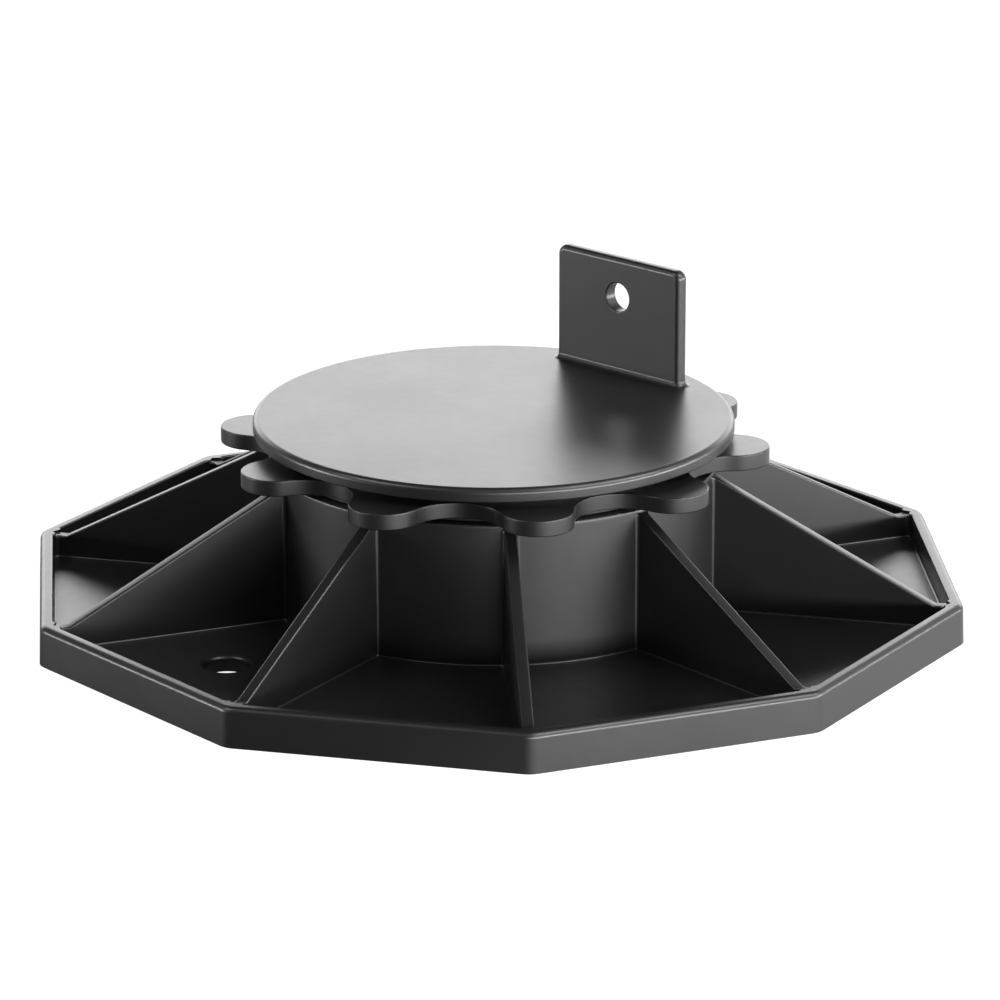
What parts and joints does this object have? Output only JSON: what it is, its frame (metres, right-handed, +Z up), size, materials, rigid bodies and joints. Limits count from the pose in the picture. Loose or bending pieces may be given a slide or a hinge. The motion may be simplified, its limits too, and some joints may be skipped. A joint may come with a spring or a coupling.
{
  "type": "decking pedestal",
  "caption": "Height-adjustable decking pedestal: ribbed polygonal base, lobed adjusting ring and round threaded head with an upright screw tab.",
  "frame": {"origin": "centre of the base's underside, on the pedestal's axis", "axes": "+Z up along the pedestal's axis; -Y is where the front face of the screw tab looks; +X runs along the tab"},
  "size_m": [0.1976, 0.1966, 0.0672],
  "materials": {
    "black_polypropylene": "black moulded polypropylene with a faint satin sheen"
  },
  "bodies": {
    "base": {"pedestal_base": "black_polypropylene"},
    "ring": {"adjusting_ring": "black_polypropylene"},
    "head": {"head_plate": "black_polypropylene"}
  },
  "joints": [
    {"name": "ring_turn", "type": "hinge", "parent": "base", "child": "ring", "pos_m": [0, 0, 0.0358], "axis": [0, 0, -1], "range_deg": [0, 1440]},
    {"name": "head_lift", "type": "slide", "parent": "base", "child": "head", "axis": [0, 0, 1], "range_m": [0, 0.024]}
  ],
  "couplings": [
    {"joint": "head_lift", "follows": "ring_turn", "m_per_rad": 0.00095492}
  ]
}
